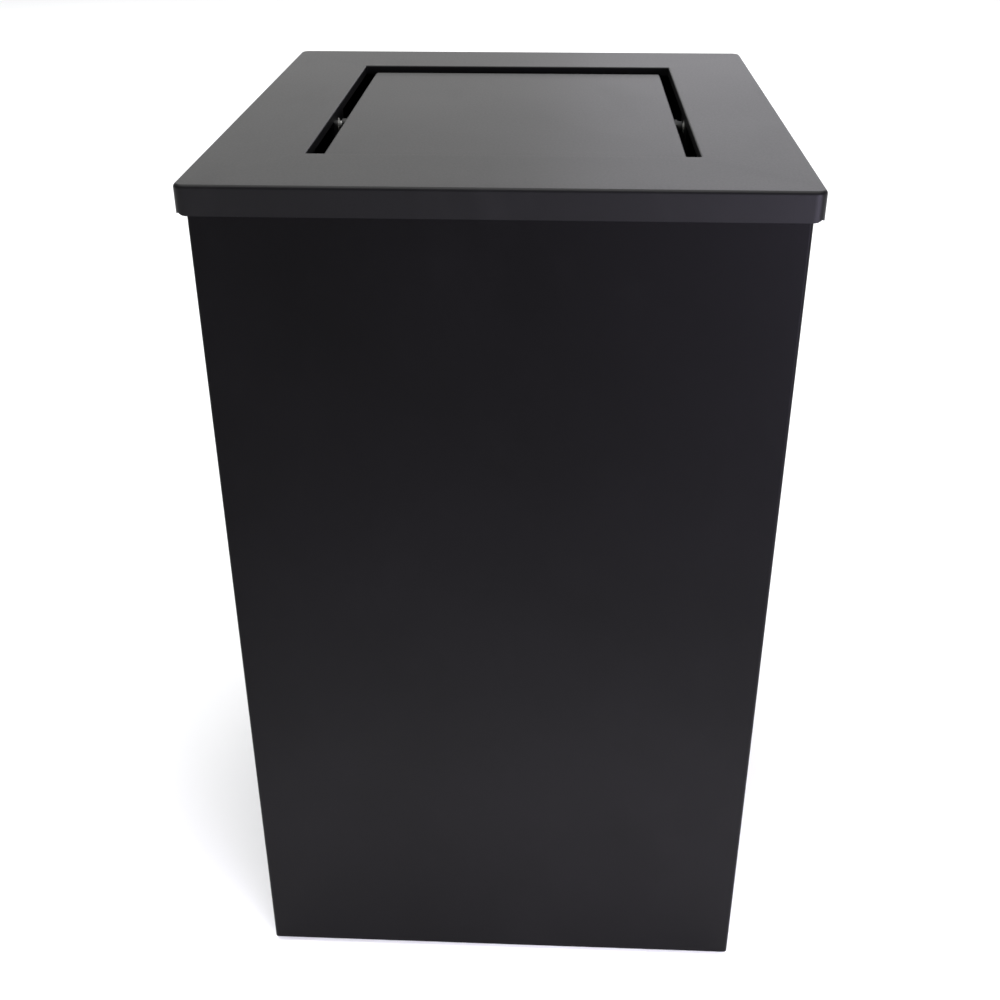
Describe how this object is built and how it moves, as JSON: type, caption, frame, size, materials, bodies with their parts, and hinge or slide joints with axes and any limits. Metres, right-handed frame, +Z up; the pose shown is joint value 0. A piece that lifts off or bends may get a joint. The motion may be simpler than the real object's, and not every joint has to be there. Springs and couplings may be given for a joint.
{
  "type": "parcel drop box",
  "caption": "Upright sheet-steel parcel drop box on rubber feet, with a lift-off lid, a balanced swing flap in the lid and a lift-out galvanised liner with folding handles.",
  "frame": {"origin": "middle of the base, on the floor under the feet", "axes": "+Z up, +X to the box's right as seen from the front, -Y out of the front"},
  "size_m": [0.4, 0.44, 0.668],
  "materials": {
    "body_coat": "satin black powder coat",
    "lid_coat": "satin black powder coat",
    "flap_coat": "satin black powder coat",
    "galvanised": "galvanised, spangled",
    "zinc_plate": "bright zinc plate",
    "rubber": "matte",
    "grip_plastic": "matte",
    "nylon": "satin"
  },
  "bodies": {
    "body": {"body_wrap": "body_coat", "back_panel": "body_coat", "floor_pan": "body_coat", "rim_frame": "body_coat", "rim_pads": "rubber", "back_rivets": "body_coat", "foot_front_left": "rubber", "foot_front_right": "rubber", "foot_back_left": "rubber", "foot_back_right": "rubber", "foot_screws": "zinc_plate", "foot_washers": "zinc_plate", "foot_nuts": "zinc_plate"},
    "liner": {"liner_shell": "galvanised", "liner_base": "galvanised", "handle_lugs_left": "zinc_plate", "handle_lugs_right": "zinc_plate", "lug_rivets": "zinc_plate"},
    "handle_left": {"handle_wire_left": "zinc_plate", "handle_grip_left": "grip_plastic"},
    "handle_right": {"handle_wire_right": "zinc_plate", "handle_grip_right": "grip_plastic"},
    "lid": {"lid_cover": "lid_coat", "lid_locating_tabs": "lid_coat", "pivot_bracket_left": "lid_coat", "pivot_bracket_right": "lid_coat", "pivot_bush_left": "nylon", "pivot_bush_right": "nylon", "stop_pin_left": "zinc_plate", "stop_pin_right": "zinc_plate", "stop_sleeve_left": "rubber", "stop_sleeve_right": "rubber"},
    "flap": {"flap_panel": "flap_coat", "flap_channel": "flap_coat", "bar_hanger_left": "flap_coat", "bar_hanger_right": "flap_coat", "balance_bar": "zinc_plate", "bar_screws": "zinc_plate", "bar_nuts": "zinc_plate", "pivot_pin_left": "zinc_plate", "pivot_pin_right": "zinc_plate", "pivot_nuts": "zinc_plate", "pivot_spacers": "zinc_plate"}
  },
  "joints": [
    {"name": "liner_lift", "type": "slide", "parent": "body", "child": "liner", "axis": [0, 0, 1], "range_m": [0, 0.65]},
    {"name": "lid_lift", "type": "slide", "parent": "liner", "child": "lid", "axis": [0, 0, 1], "range_m": [0, 0.2]},
    {"name": "flap_swing", "type": "hinge", "parent": "lid", "child": "flap", "pos_m": [0, 0.0045, 0.652], "axis": [1, 0, 0], "range_deg": [-70.2, 70.2]},
    {"name": "handle_left_fold", "type": "hinge", "parent": "liner", "child": "handle_left", "pos_m": [-0.166, -0.0005, 0.505], "axis": [0, -1, 0], "range_deg": [0, 170]},
    {"name": "handle_right_fold", "type": "hinge", "parent": "liner", "child": "handle_right", "pos_m": [0.166, -0.0005, 0.505], "axis": [0, 1, 0], "range_deg": [0, 170]}
  ]
}
